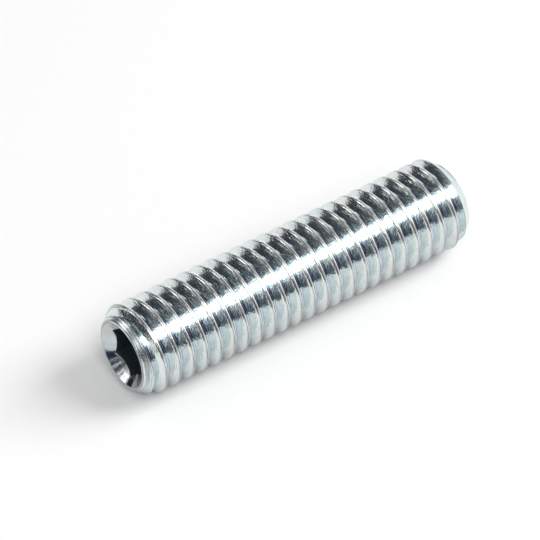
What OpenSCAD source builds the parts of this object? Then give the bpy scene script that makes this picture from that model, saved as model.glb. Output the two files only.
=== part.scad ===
// Socket set screw (grub screw) with a flat point, cut from one steel bar.
// It lies on its crests along X: the hexagon socket is at the -X end and the flat point at the +X end.
// The origin is midway along the screw, on the surface that it lies on, and +Z is up.

/* [Thread] */
// Major diameter, over the crests
major_d = 5.95; // [5.5:0.05:6.5]
// Pitch, the distance from one crest to the next
pitch = 1; // [0.8:0.05:1.25]
// Included angle between the two flanks
flank_angle = 60; // [55:1:65]
// Where the crest meets the socket end, turned about the screw's axis
thread_start = 190; // [0:5:355]
// Straight steps in one turn of the helix
turn_steps = 24; // [20:4:32]

/* [Ends] */
// Length over both ends
screw_length = 24.6; // [12:0.1:30]
// Diameter of the flat face at the socket end
socket_end_d = 4.6; // [4.4:0.1:5]
// Diameter of the flat face at the point
point_d = 4.6; // [3:0.1:5]
// Angle between the chamfers and the screw's axis
chamfer_angle = 38; // [30:1:55]

/* [Socket] */
// Size of the hexagon across its flats
socket_af = 3.02; // [2:0.02:3.2]
// Depth of the hexagon's flats, from the end face
socket_depth = 3.5; // [2.5:0.1:5]
// Included angle of the drilled point at the bottom of the socket
drill_angle = 120; // [90:1:140]
// Diameter of the countersink where it opens at the end face
countersink_d = 4.25; // [3.8:0.05:4.3]
// Included angle of the countersink
countersink_angle = 90; // [70:1:120]
// Turn of the hexagon about the screw's axis
socket_turn = 52; // [0:1:59]

/* [Hidden] */
// Width of the flat on the crest and height of the thread, as shares of the pitch
crest_share = 1 / 8;
depth_share = 0.6134;
// How far the ridge runs past the surfaces that it is joined to or trimmed by
lap = 0.06;

major_r = major_d / 2;
root_r = major_r - depth_share * pitch;
flank_run = tan(flank_angle / 2);
socket_chamfer = (major_r - socket_end_d / 2) / tan(chamfer_angle);
point_chamfer = (major_r - point_d / 2) / tan(chamfer_angle);
socket_corner_r = socket_af / 2 / cos(30);
countersink_depth = countersink_d / 2 / tan(countersink_angle / 2);
drill_depth = socket_af / 2 / tan(drill_angle / 2);

// One turn of ridge lies past each end, so that the thread runs out on the chamfers
ridge_steps = ceil((screw_length / pitch + 2) * turn_steps);

// Half the width of the ridge at radius r
function half_width(r) = crest_share * pitch / 2 + (major_r - r) * flank_run;

// The ridge's section at one step of the helix: two points under the root, two past the crest
function ridge_section(step) =
    let (
        turn = thread_start + step * 360 / turn_steps,
        along = (step / turn_steps - 1) * pitch,
        low = root_r - lap,
        high = major_r + lap
    )
    [
        for (corner = [[low, -1], [high, -1], [high, 1], [low, 1]])
        let (r = corner[0])
        [r * cos(turn), r * sin(turn), along + corner[1] * half_width(r)]
    ];

// The raised helix by itself, a four-sided bar swept up the screw
module ridge() {
    points = [for (step = [0:ridge_steps]) each ridge_section(step)];
    sides = [
        for (step = [0:ridge_steps - 1], side = [0:3])
        let (a = 4 * step + side, b = 4 * step + (side + 1) % 4)
        each [[a, b, b + 4], [a, b + 4, a + 4]]
    ];
    last = 4 * ridge_steps;
    ends = [[3, 2, 1, 0], [last, last + 1, last + 2, last + 3]];
    polyhedron(points = points, faces = concat(sides, ends));
}

// The turned blank that the crests follow, with a chamfer at each end
module blank() {
    rotate_extrude($fn = 96)
        polygon([
            [0, 0],
            [socket_end_d / 2, 0],
            [major_r, socket_chamfer],
            [major_r, screw_length - point_chamfer],
            [point_d / 2, screw_length],
            [0, screw_length],
        ]);
}

// The hexagon socket: its flats, the drilled point below them and the countersink at its mouth
module socket() {
    translate([0, 0, -lap])
        rotate([0, 0, socket_turn])
            cylinder(h = socket_depth + lap, r = socket_corner_r, $fn = 6);
    translate([0, 0, socket_depth])
        cylinder(h = drill_depth, r1 = socket_af / 2, r2 = 0, $fn = 72);
    translate([0, 0, -lap])
        cylinder(
            h = countersink_depth + lap,
            r1 = countersink_d / 2 + lap * tan(countersink_angle / 2),
            r2 = 0,
            $fn = 96
        );
}

// The screw stood on its socket end
module upright_screw() {
    difference() {
        intersection() {
            union() {
                cylinder(h = screw_length, r = root_r, $fn = 96);
                ridge();
            }
            blank();
        }
        socket();
    }
}

module set_screw() {
    color("silver")
        translate([-screw_length / 2, 0, major_r])
            rotate([0, 90, 0])
                upright_screw();
}

set_screw();
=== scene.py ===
import math

import bmesh
import bpy
from mathutils import Matrix, Vector


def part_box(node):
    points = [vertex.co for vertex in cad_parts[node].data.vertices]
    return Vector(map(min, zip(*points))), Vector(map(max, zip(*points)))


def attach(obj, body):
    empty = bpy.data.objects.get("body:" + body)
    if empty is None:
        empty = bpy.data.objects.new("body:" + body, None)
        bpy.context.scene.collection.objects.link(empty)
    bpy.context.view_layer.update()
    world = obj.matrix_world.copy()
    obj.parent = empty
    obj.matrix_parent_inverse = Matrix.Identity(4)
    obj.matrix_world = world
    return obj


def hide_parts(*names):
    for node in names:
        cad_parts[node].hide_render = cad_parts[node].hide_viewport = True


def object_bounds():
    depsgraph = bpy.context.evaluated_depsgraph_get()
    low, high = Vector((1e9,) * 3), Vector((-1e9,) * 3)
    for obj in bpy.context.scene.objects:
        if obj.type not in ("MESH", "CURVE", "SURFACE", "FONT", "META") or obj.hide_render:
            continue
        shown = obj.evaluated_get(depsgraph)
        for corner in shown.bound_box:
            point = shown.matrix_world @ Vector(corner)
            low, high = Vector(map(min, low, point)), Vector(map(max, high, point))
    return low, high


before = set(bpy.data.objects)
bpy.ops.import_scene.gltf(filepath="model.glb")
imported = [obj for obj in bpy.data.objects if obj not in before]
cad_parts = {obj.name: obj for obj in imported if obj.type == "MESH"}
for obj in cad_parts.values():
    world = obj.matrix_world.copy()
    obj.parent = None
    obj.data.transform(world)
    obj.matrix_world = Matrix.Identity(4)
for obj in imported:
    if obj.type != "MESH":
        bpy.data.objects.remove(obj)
cad_box = [list(corner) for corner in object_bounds()]
scene = bpy.context.scene
mm = 0.001

# The camera looks down on the socket end from the left, with a long lens.
# It is fitted to the thread's crests in the photo, so that the screw lies at the same slant.
axis_height = (cad_box[0][2] + cad_box[1][2]) / 2
aim_past_socket_end = 11.70 * mm
aim_behind_axis = 1.01 * mm
camera_aim = Vector((cad_box[0][0] + aim_past_socket_end, aim_behind_axis, axis_height))
camera_distance = 260.8 * mm
camera_azimuth = math.radians(-35.76)
camera_elevation = math.radians(42.17)
sensor_width = 36.0
focal_length = 282.9

camera_data = bpy.data.cameras.new("camera")
camera_data.sensor_width = sensor_width
camera_data.lens = focal_length
camera_data.clip_start = 1 * mm
camera_data.clip_end = 20.0
camera = bpy.data.objects.new("camera", camera_data)
scene.collection.objects.link(camera)
to_camera = Vector((
    math.sin(camera_azimuth) * math.cos(camera_elevation),
    -math.cos(camera_azimuth) * math.cos(camera_elevation),
    math.sin(camera_elevation),
))
camera.location = camera_aim + camera_distance * to_camera
camera.rotation_euler = to_camera.to_track_quat("Z", "Y").to_euler()
scene.camera = camera


# The screw is one steel bar. Its right-hand metric thread is rolled over the whole length, so the
# root is rounded, and the metal meets on the crest in two round lips with a fine seam between them.
screw_low, screw_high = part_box("set_screw")
screw_length = screw_high.x - screw_low.x
major_radius = (screw_high.z - screw_low.z) / 2
pitch = 1.0 * mm
thread_depth = 0.6134 * pitch
root_radius = major_radius - thread_depth
root_rounding = 0.075 * mm
crest_width = 0.2 * mm
crest_rounding = 0.09 * mm
seam_width = 0.05 * mm
seam_depth = 0.03 * mm
flank_slope = math.tan(math.radians(30))
# Where the crest meets the socket end, as an angle from the back towards the top
thread_start = math.radians(98)
rounding_steps = 6
turn_steps = 96
spare_turns = 2
merge_distance = 1e-8

socket_face = Vector((screw_low.x, 0, axis_height))
point_face = Vector((screw_high.x, 0, axis_height))
along = Vector((1, 0, 0))
outward = Vector((0, 0, 1))


def round_corners(bm, verts, setback, steps):
    """Puts an arc in place of each corner, starting at the setback from the corner's point."""
    bmesh.ops.bevel(
        bm,
        geom=verts,
        offset=setback,
        offset_type="OFFSET",
        affect="VERTICES",
        segments=steps,
        profile=0.5,
        material=-1,
    )


def wire(bm, corners, roundings=()):
    """A chain of edges through corners, each given along and out from the screw's axis.

    A corner that has a rounding gets an arc of that radius in place of its point.
    """
    verts = [bm.verts.new(socket_face + along * x + outward * r) for x, r in corners]
    for a, b in zip(verts, verts[1:]):
        bm.edges.new((a, b))
    for index, radius in roundings:
        before, after = (
            edge.other_vert(verts[index]).co - verts[index].co
            for edge in verts[index].link_edges
        )
        half_turn = (math.pi - before.angle(after)) / 2
        round_corners(bm, [verts[index]], radius * math.tan(half_turn), rounding_steps)


def verts_of(geom):
    return [part for part in geom if isinstance(part, bmesh.types.BMVert)]


def finished_mesh(bm, name):
    """Merges the points that meet, turns the faces outwards and hands over the mesh."""
    bmesh.ops.remove_doubles(bm, verts=bm.verts, dist=merge_distance)
    bmesh.ops.recalc_face_normals(bm, faces=bm.faces)
    mesh = bpy.data.meshes.new(name)
    bm.to_mesh(mesh)
    bm.free()
    return mesh


def thread_mesh():
    """The thread by itself, a little longer than the screw and cut square."""
    bm = bmesh.new()
    crest_low = (pitch - crest_width) / 2
    root_half = crest_low - thread_depth * flank_slope
    seam_low = (pitch - seam_width) / 2
    section = [
        (0, root_radius),
        (root_half, root_radius),
        (crest_low, major_radius),
        (seam_low, major_radius),
        (pitch / 2, major_radius - seam_depth),
        (pitch - seam_low, major_radius),
        (pitch - crest_low, major_radius),
        (pitch - root_half, root_radius),
        (pitch, root_radius),
    ]
    roundings = [
        (1, root_rounding),
        (2, crest_rounding),
        (6, crest_rounding),
        (7, root_rounding),
    ]
    wire(bm, section, roundings)
    bmesh.ops.translate(bm, verts=bm.verts, vec=-along * spare_turns / 2 * pitch)
    # The section points straight up and its crest lies half a pitch before the socket face,
    # so a quarter turn more than the start's own angle brings the crest there.
    to_start = Matrix.Rotation(thread_start + math.radians(90), 3, "X")
    bmesh.ops.rotate(bm, verts=bm.verts, cent=socket_face, matrix=to_start)
    bmesh.ops.spin(
        bm,
        geom=bm.verts[:] + bm.edges[:],
        cent=socket_face,
        axis=along,
        dvec=along * pitch / turn_steps,
        angle=2 * math.pi,
        steps=turn_steps,
    )
    one_turn = bm.verts[:] + bm.edges[:] + bm.faces[:]
    turns = math.ceil(screw_length / pitch) + spare_turns
    for turn in range(1, turns):
        copied = bmesh.ops.duplicate(bm, geom=one_turn)["geom"]
        bmesh.ops.translate(bm, verts=verts_of(copied), vec=along * turn * pitch)
    bmesh.ops.remove_doubles(bm, verts=bm.verts, dist=merge_distance)
    overhang = 0.3 * pitch
    for end_face, away in ((socket_face, -along), (point_face, along)):
        bmesh.ops.bisect_plane(
            bm,
            geom=bm.verts[:] + bm.edges[:] + bm.faces[:],
            plane_co=end_face + away * overhang,
            plane_no=away,
            clear_outer=True,
        )
    rim = [edge for edge in bm.edges if edge.is_boundary]
    bmesh.ops.holes_fill(bm, edges=rim, sides=0)
    return finished_mesh(bm, "thread")


def add_object(name, mesh):
    made = bpy.data.objects.new(name, mesh)
    scene.collection.objects.link(made)
    return made


screw = add_object("set_screw_body", thread_mesh())

# The blank's two end faces and chamfers, turned before the thread is rolled.
# The ridges beside each end get lower as they follow the chamfer down to the narrow flat rim.
end_radius = 2.3 * mm
chamfer_slope = math.tan(math.radians(38))
socket_rim_rounding = 0.05 * mm
point_rim_rounding = 0.08 * mm
clearance = 0.1 * mm
lathe_steps = 144


def turned_object(name, corners, roundings=()):
    """A solid of revolution about the screw's axis. Its first and last corners lie on the axis."""
    bm = bmesh.new()
    wire(bm, corners, roundings)
    bmesh.ops.spin(
        bm,
        geom=bm.verts[:] + bm.edges[:],
        cent=socket_face,
        axis=along,
        angle=2 * math.pi,
        steps=lathe_steps,
        use_merge=True,
    )
    return add_object(name, finished_mesh(bm, name))


blank_radius = major_radius + clearance
chamfer_run = (blank_radius - end_radius) / chamfer_slope
blank = turned_object(
    "blank",
    [
        (0, 0),
        (0, end_radius),
        (chamfer_run, blank_radius),
        (screw_length - chamfer_run, blank_radius),
        (screw_length, end_radius),
        (screw_length, 0),
    ],
    roundings=[(1, socket_rim_rounding), (4, point_rim_rounding)],
)

# The hexagon socket: six flats with slightly rounded corners, pressed into the end.
# One flat lies on top, turned a few degrees to the back, as the corners in the photo show.
socket_across_flats = 3.02 * mm
socket_corner_radius = socket_across_flats / 2 / math.cos(math.pi / 6)
socket_depth = 3.5 * mm
socket_turn = math.radians(-8)
corner_rounding = 0.08 * mm
corner_steps = 4


def hexagon_mesh():
    """The six-sided plug that is cut out of the end, from a little before the face."""
    bm = bmesh.new()
    circle = bmesh.ops.create_circle(bm, segments=6, radius=socket_corner_radius, cap_ends=True)
    setback = corner_rounding * math.tan(math.pi / 6)
    round_corners(bm, circle["verts"], setback, corner_steps)
    upright = Matrix.Rotation(math.radians(90), 4, "Y") @ Matrix.Rotation(math.radians(90), 4, "Z")
    turned_to_place = Matrix.Rotation(socket_turn, 4, "X") @ upright
    bmesh.ops.transform(bm, verts=bm.verts, matrix=turned_to_place)
    bmesh.ops.translate(bm, verts=bm.verts, vec=socket_face - along * clearance)
    grown = bmesh.ops.extrude_face_region(bm, geom=bm.faces[:])["geom"]
    bmesh.ops.translate(bm, verts=verts_of(grown), vec=along * (socket_depth + clearance))
    return finished_mesh(bm, "hexagon")


hexagon = add_object("hexagon", hexagon_mesh())

# The countersink that leads the key in, and the drilled point below the hexagon.
# Where the countersink's cone meets the six flats it leaves six curved lobes.
countersink_radius = 2.125 * mm
drill_radius = socket_across_flats / 2 - 0.02 * mm
drill_tip = drill_radius * math.tan(math.radians(30))
countersink = turned_object(
    "countersink",
    [
        (-clearance, 0),
        (-clearance, countersink_radius + clearance),
        (0, countersink_radius),
        (countersink_radius, 0),
    ],
)
drill = turned_object(
    "drill",
    [
        (socket_depth - clearance, 0),
        (socket_depth - clearance, drill_radius),
        (socket_depth, drill_radius),
        (socket_depth + drill_tip, 0),
    ],
)

# The cuts into the steel are made in the order of the bench: ends first, then the socket.
# Flat facets weigh more than the roundings beside them, so the flanks reflect without waves.
crisp_edge_angle = math.radians(25)
cutters = {
    blank: "INTERSECT",
    hexagon: "DIFFERENCE",
    countersink: "DIFFERENCE",
    drill: "DIFFERENCE",
}
for cutter, operation in cutters.items():
    cut = screw.modifiers.new(cutter.name, "BOOLEAN")
    cut.object = cutter
    cut.operation = operation
    cut.solver = "MANIFOLD"
shaped = bpy.data.meshes.new_from_object(
    screw.evaluated_get(bpy.context.evaluated_depsgraph_get())
)
screw.modifiers.clear()
screw.data = shaped
for cutter in cutters:
    bpy.data.objects.remove(cutter)
shaped.shade_smooth()
shaped.set_sharp_from_angle(angle=crisp_edge_angle)
weighting = screw.modifiers.new("even_flanks", "WEIGHTED_NORMAL")
weighting.keep_sharp = True

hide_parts("set_screw")
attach(screw, "root")


# The plating: bright zinc with a clear blue passivation, bluish at the root and paler near the
# crest, with a faint rainbow on the lips. It keeps the scratches that the rolling dies leave along
# the thread and the lathe's rings on both ends, and it is dull down in the socket. Painted shade
# darkens its low side, the seam, the root and the socket, and a painted highlight lightens the
# countersink's upper cone.
class Signal:
    """One output of a material's nodes. Sums written with it add their Math nodes."""

    def __init__(self, tree, socket=None):
        self.tree = tree
        self.socket = socket

    def node(self, kind, settings=None, sockets=None, output=0):
        """Adds one node: its settings first, then a value or a link for each socket."""
        made = self.tree.nodes.new(kind)
        for name, value in (settings or {}).items():
            setattr(made, name, value)
        for name, value in (sockets or {}).items():
            if isinstance(value, Signal):
                self.tree.links.new(value.socket, made.inputs[name])
            else:
                made.inputs[name].default_value = value
        if len(made.outputs):
            return Signal(self.tree, made.outputs[output])

    def maths(self, operation, first, second=0.0):
        return self.node("ShaderNodeMath", {"operation": operation}, {0: first, 1: second})

    def parts(self):
        """The x, y and z of a vector, as three signals."""
        split = self.node("ShaderNodeSeparateXYZ", sockets={0: self})
        return [Signal(self.tree, output) for output in split.socket.node.outputs]

    def climb(self, low, high):
        """0 below low and 1 above high, with a smooth climb between them."""
        return self.node(
            "ShaderNodeMapRange",
            {"interpolation_type": "SMOOTHSTEP"},
            {"Value": self, "From Min": low, "From Max": high},
        )

    def fall(self, low, high):
        """1 below low and 0 above high, with a smooth fall between them."""
        return 1 - self.climb(low, high)

    def band(self, start, full, fade, end):
        """1 between full and fade, and 0 before start and after end."""
        return self.climb(start, full) * self.fall(fade, end)

    def bell(self, centre, spread):
        """1 where the signal is at centre, falling off to a third at one spread from it."""
        off = (self - centre) * (1 / spread)
        return self.maths("EXPONENT", -1.0 * (off * off))

    def noise(self, stretch, detail):
        """Soft random values near 0.5 over a place, finer along the axes that stretch more."""
        at = self.node("ShaderNodeVectorMath", {"operation": "MULTIPLY"}, {0: self, 1: stretch})
        return self.node(
            "ShaderNodeTexNoise", sockets={"Vector": at, "Scale": 1.0, "Detail": detail}
        )

    def blend(self, low, high):
        """A colour that goes from low to high as the signal goes from 0 to 1."""
        return self.node(
            "ShaderNodeMix", {"data_type": "RGBA"}, {0: self, 6: low, 7: high}, output=2
        )

    def __add__(self, other):
        return self.maths("ADD", self, other)

    __radd__ = __add__

    def __sub__(self, other):
        return self.maths("SUBTRACT", self, other)

    def __rsub__(self, other):
        return self.maths("SUBTRACT", other, self)

    def __mul__(self, other):
        return self.maths("MULTIPLY", self, other)

    __rmul__ = __mul__


def new_material(name):
    """An empty material, and the signal that adds the nodes to it."""
    material = bpy.data.materials.new(name)
    material.use_nodes = True
    material.node_tree.nodes.clear()
    return material, Signal(material.node_tree)


# Every place on the screw is in millimetres: along it, across it, and up from its axis
zinc, paint = new_material("zinc_plate")
place = paint.node(
    "ShaderNodeVectorMath",
    {"operation": "SCALE"},
    {0: paint.node("ShaderNodeTexCoord", output="Object"), "Scale": 1 / mm},
)
lengthwise, across, height = place.parts()
upward = height - axis_height / mm
radius = paint.maths("SQRT", across * across + upward * upward)
above_root = radius - root_radius / mm
from_face = lengthwise - socket_face.x / mm
from_end = paint.maths("MINIMUM", from_face, screw_length / mm - from_face)

# The countersink's cone, the bore below it, and the chamfers with the end faces
past_cone = from_face + radius - countersink_radius / mm
past_corners = radius - socket_corner_radius / mm
past_chamfer = radius - from_end * chamfer_slope - end_radius / mm
countersunk = past_cone.fall(0.005, 0.035)
bore = past_corners.fall(0.1, 0.2) * past_cone.climb(0.015, 0.075)
turned = paint.maths("MAXIMUM", past_chamfer.climb(-0.05, -0.02), from_end.fall(0.02, 0.05))
turned = turned * (1 - countersunk)

# The lips and the seam follow the crest round the helix, and the root lies between them
turns = paint.maths("ARCTAN2", upward, across) * (0.5 / math.pi)
past_crest = from_face - turns + (math.degrees(thread_start) / 360 + 0.5)
past_crest = paint.maths("FRACT", past_crest) - 0.5
lips = paint.maths("ABSOLUTE", past_crest).fall(0.08, 0.12) * (1 - turned)
seam = past_crest.bell(0, 0.02) * (1 - turned)
root = above_root.fall(0.02, 0.10) * (1 - turned)

# The marks of the tools and of the zinc bath, from the finest to the broadest
scratch = place.noise((24, 2.2, 2.2), detail=1.0)
grain = place.noise((12, 8, 8), detail=2.0)
dents = place.noise((4.5, 3, 3), detail=2.0)
ring_place = paint.node(
    "ShaderNodeCombineXYZ", sockets={0: from_face + radius, 1: across * 0.04, 2: upward * 0.04}
)
rings = ring_place.noise((8, 8, 8), detail=2.0)
spoke = place.noise((0.4, 6, 6), detail=1.0)
tint = place.noise((1.6, 1.1, 1.1), detail=1.0)
cloud = place.noise((0.9, 0.9, 0.9), detail=2.0)

cool_zinc = (0.695, 0.775, 0.80, 1)
warm_zinc = (0.755, 0.81, 0.79, 1)
blue_film = (0.68, 0.775, 0.855, 1)
pale_film = (0.765, 0.815, 0.785, 1)
violet_lip = (0.84, 0.80, 0.83, 1)
straw_lip = (0.82, 0.83, 0.78, 1)
painted_highlight_zinc = (0.94, 0.97, 0.97, 1)
bore_shade_colour = (0.13, 0.17, 0.21, 1)
# Dark steel for the scratches and rings, and also the colour of the painted shade
dark_steel_and_shade = (0.16, 0.17, 0.18, 1)

plate = cloud.climb(0.35, 0.65).blend(cool_zinc, warm_zinc)
film = above_root.climb(0.04, 0.44).blend(blue_film, pale_film)
film_share = (1 - countersunk) * (0.5 - 0.4 * turned)
plate = film_share.blend(plate, film)
rainbow = tint.climb(0.35, 0.65).blend(violet_lip, straw_lip)
plate = (lips * 0.6).blend(plate, rainbow)

# Painted shade: the zinc is darkened on the low side, where it mirrors the ground in the screw's
# shade, most of all on the lips there and at the very bottom
low_side_shade = upward.fall(0.0, 1.2) * lips * 0.4 + upward.fall(-0.8, 0.6) * 0.13
low_side_shade = low_side_shade + upward.fall(-2.9, -0.8) * 0.2
plate = low_side_shade.blend(plate, dark_steel_and_shade)

# The lathe's rings are deepest on the upper part of the socket end
grooves = turned * rings.climb(0.46, 0.56) * (0.6 - 0.5 * from_face.climb(2, 3))
grooves = grooves * (0.3 + 0.7 * upward.climb(-1.2, 0.2))
plate = grooves.blend(plate, dark_steel_and_shade)
# Real scratches from the dies, and painted shade in the seam and down in the root
wear_and_shade = scratch.climb(0.5, 0.75) * 0.2 + seam * 0.42 + root * 0.25
plate = wear_and_shade.blend(plate, dark_steel_and_shade)

# Low down the countersink has dark spokes of bare steel over painted shade, deepest in the near
# lower corner, and its upper cone is lightened with a painted highlight
streaks_and_shade = spoke.climb(0.48, 0.56) * upward.fall(-1.2, -1.0) * 0.5
low_corner_shade = upward.fall(-1.4, -0.9) * across.fall(-0.45, -0.25) * 0.75
streaks_and_shade = paint.maths("MINIMUM", streaks_and_shade + low_corner_shade, 0.9)
plate = (countersunk * streaks_and_shade).blend(plate, dark_steel_and_shade)
plate = (countersunk * upward.climb(-0.6, 0.2) * 0.8).blend(plate, painted_highlight_zinc)
# Painted shade down in the bore below the hexagon
colour = (bore * 0.7).blend(plate, bore_shade_colour)

# The relief's heights are in millimetres
relief_height = (dents * 0.012 + grain * 0.008 + scratch * 0.006) * (1 - countersunk * 0.9)
relief_height = relief_height + rings * turned * 0.035
relief = paint.node("ShaderNodeBump", sockets={"Height": relief_height, "Distance": mm})
dullness = grain * 0.10 + lips * 0.12 + turned * 0.15 + bore * 0.2 + 0.06
surface = paint.node(
    "ShaderNodeBsdfPrincipled",
    sockets={"Base Color": colour, "Metallic": 1.0, "Roughness": dullness, "Normal": relief},
)
paint.node("ShaderNodeOutputMaterial", sockets={"Surface": surface})
shaped.materials.clear()
shaped.materials.append(zinc)


# The ground is a sheet of matt white card. It runs out of the picture on every side,
# and its own colour gives the white ground with the screw's soft shadow on it.
floor_reach = 0.3
card_shade = (0.888, 0.888, 0.888, 1)
card_white = (0.912, 0.912, 0.912, 1)
fibres_in_metre = 2500

bm = bmesh.new()
bmesh.ops.create_grid(bm, x_segments=1, y_segments=1, size=floor_reach)
floor = add_object("floor", finished_mesh(bm, "floor"))
card, paint = new_material("white_card")
card_place = paint.node("ShaderNodeTexCoord", output="Object")
fibre = card_place.noise((fibres_in_metre,) * 3, detail=3.0)
matt = paint.node(
    "ShaderNodeBsdfDiffuse", sockets={"Color": fibre.blend(card_shade, card_white)}
)
paint.node("ShaderNodeOutputMaterial", sockets={"Surface": matt})
floor.data.materials.append(card)


# The room that the bright plating mirrors, painted as glowing colour on a sphere: a dim tent of
# bluish cloth with a long softbox over the near side, a strip light over the back, pale walls at
# both ends, three pale posts off the socket end, a window at the back left and a low card at the
# back right.
# Only mirrored rays see it, so all of it is painted reflection.
tent_radius = 1.0
back_dusk = (0.047, 0.049, 0.060, 1)
near_dusk = (0.040, 0.049, 0.079, 1)


def mirror_only(thing):
    """Keeps a mirrored thing out of the picture and out of the light on the ground."""
    thing.visible_camera = False
    thing.visible_diffuse = False
    thing.visible_shadow = False
    thing.visible_transmission = False
    thing.visible_volume_scatter = False


bm = bmesh.new()
bmesh.ops.create_uvsphere(bm, u_segments=64, v_segments=32, radius=tent_radius)
tent = add_object("tent", finished_mesh(bm, "tent"))
tent_glow, paint = new_material("tent_painted_glow")
toward = paint.node(
    "ShaderNodeVectorMath",
    {"operation": "NORMALIZE"},
    {0: paint.node("ShaderNodeTexCoord", output="Object")},
)

# Roll is in degrees about the screw's axis, 0 overhead and growing towards the near side.
# Heading is in degrees along the ground, 0 off the point end and growing towards the back.
right, back, up = toward.parts()
roll = paint.maths("ARCTAN2", -1.0 * back, up) * (180 / math.pi)
heading = paint.maths("ARCTAN2", back, right) * (180 / math.pi)
softbox = 3.0 * roll.band(9, 27, 38, 56) * right.climb(-0.85, -0.65)
wall_tone = 0.5 + 0.9 * roll.bell(-30, 10) - 0.25 * roll.bell(-50, 10) - 0.32 * roll.climb(46, 74)
right_wall = wall_tone * right.climb(0.28, 0.42) * (1 - 0.6 * right.climb(0.55, 0.75))
wall_panels = 1.1 * roll.bell(62, 12) + 0.5 * roll.bell(2, 9)
right_wall = right_wall + right.climb(0.42, 0.52) * wall_panels + 0.3 * right.climb(0.7, 0.95)
back_strip = 2.6 * roll.bell(-34, 8) * right.band(-0.65, -0.45, -0.2, -0.06)
left_wall = 0.26 * right.fall(-0.65, -0.35) * roll.fall(14, 42) * up.climb(0.5, 0.6)
posts = 1.1 * back.bell(-0.04, 0.045) + 0.5 * back.bell(-0.25, 0.04) + 1.4 * back.bell(0.28, 0.06)
posts = (posts + 0.05) * right.fall(-0.85, -0.7) * up.band(0.2, 0.3, 0.5, 0.6)
low_card = 1.6 * heading.bell(62, 22) * up.fall(0.24, 0.36)
window = 3.0 * heading.bell(139, 12) * up.band(0.22, 0.34, 0.48, 0.64)
lamps = softbox + right_wall + back_strip + left_wall + posts + low_card + window
glow = paint.node(
    "ShaderNodeMix",
    {"data_type": "RGBA", "blend_type": "ADD"},
    {0: 1.0, 6: roll.climb(-10, 10).blend(back_dusk, near_dusk), 7: lamps},
    output=2,
)
lit_cloth = paint.node("ShaderNodeEmission", sockets={"Color": glow})
paint.node("ShaderNodeOutputMaterial", sockets={"Surface": lit_cloth})
tent.data.materials.append(tent_glow)
mirror_only(tent)

# A low edge of dark felt, bent round the front of the screw just out of the picture. Only mirrored
# rays see it: it is a painted dark reflection, and hides the far part of the white ground from the
# thread's near side.
near_edge_radius = 42 * mm
near_edge_height = 6 * mm
near_edge_start = math.radians(-140)
near_edge_sweep = math.radians(85)
dark_reflection_colour = (0.06, 0.07, 0.09, 1)


def upright_line(bm, foot, height):
    """A line straight up from its foot on the ground, for a wall to be drawn out of."""
    top = (foot[0], foot[1], height)
    bm.edges.new((bm.verts.new(foot), bm.verts.new(top)))


bm = bmesh.new()
upright_line(bm, (near_edge_radius, 0, 0), near_edge_height)
bmesh.ops.rotate(bm, verts=bm.verts, matrix=Matrix.Rotation(near_edge_start, 3, "Z"))
bmesh.ops.spin(
    bm,
    geom=bm.verts[:] + bm.edges[:],
    cent=(0, 0, 0),
    axis=(0, 0, 1),
    angle=near_edge_sweep,
    steps=24,
)
near_edge = add_object("near_edge", finished_mesh(bm, "near_edge"))
dark_reflection_felt, paint = new_material("painted_dark_felt")
dim_reflection = paint.node("ShaderNodeEmission", sockets={"Color": dark_reflection_colour})
paint.node("ShaderNodeOutputMaterial", sockets={"Surface": dim_reflection})
near_edge.data.materials.append(dark_reflection_felt)
mirror_only(near_edge)

# A shorter and lower piece of the same felt, stood up straight before the socket end, also a
# painted dark reflection. It hides the white ground beyond it from the end's chamfer and
# countersink.
end_edge_place = -22.5 * mm
end_edge_width = 8 * mm
end_edge_height = 2.5 * mm

bm = bmesh.new()
upright_line(bm, (end_edge_place, -end_edge_width / 2, 0), end_edge_height)
drawn = bmesh.ops.extrude_edge_only(bm, edges=bm.edges[:])["geom"]
bmesh.ops.translate(bm, verts=verts_of(drawn), vec=(0, end_edge_width, 0))
end_edge = add_object("end_edge", finished_mesh(bm, "end_edge"))
end_edge.data.materials.append(dark_reflection_felt)
mirror_only(end_edge)


# The lamps that light the ground: a softbox over the right, and a weaker one in front, close above
# the camera. The plating doesn't mirror them, because the room has its own lamps for that.
def softbox_light(name, toward, width, depth, level):
    """A rectangular light that faces the screw, with its width along the screw."""
    distance = 0.4
    side = (along - along.dot(toward) * toward).normalized()
    data = bpy.data.lights.new(name, "AREA")
    data.shape = "RECTANGLE"
    data.size = width
    data.size_y = depth
    data.energy = level * math.pi * width * depth
    light = bpy.data.objects.new(name, data)
    scene.collection.objects.link(light)
    turn = Matrix((side, toward.cross(side), toward)).transposed().to_4x4()
    light.matrix_world = Matrix.Translation(toward * distance) @ turn
    light.visible_camera = False
    light.visible_glossy = False


key_side = Vector((0.67, -0.33, 0.67)).normalized()
fill_side = Vector((-0.32, -0.58, 0.75)).normalized()
softbox_light("key", key_side, width=0.30, depth=0.20, level=6.5)
softbox_light("fill", fill_side, width=0.20, depth=0.20, level=4.1)

# The white all round. Looked at or mirrored it is plain white. What it sheds on the ground is
# weaker, and stronger near the horizon than overhead, so that the screw's shadow stays soft.
overhead_level = 0.42
horizon_level = 0.80

world = bpy.data.worlds.new("world")
world.use_nodes = True
world.node_tree.nodes.clear()
sky = Signal(world.node_tree)
seen_rays = ("Is Camera Ray", "Is Glossy Ray", "Is Transmission Ray")
seen = sum(sky.node("ShaderNodeLightPath", output=ray) for ray in seen_rays)
sky_up = sky.node("ShaderNodeTexCoord", output="Object").parts()[2]
shed = overhead_level + (horizon_level - overhead_level) * sky_up.fall(0.0, 0.6)
white = sky.node(
    "ShaderNodeBackground",
    sockets={"Color": (1, 1, 1, 1), "Strength": seen * (1 - shed) + shed},
)
sky.node("ShaderNodeOutputWorld", sockets={"Surface": white})
scene.world = world

# The picture is shown in plain colours.
scene.view_settings.view_transform = "Standard"
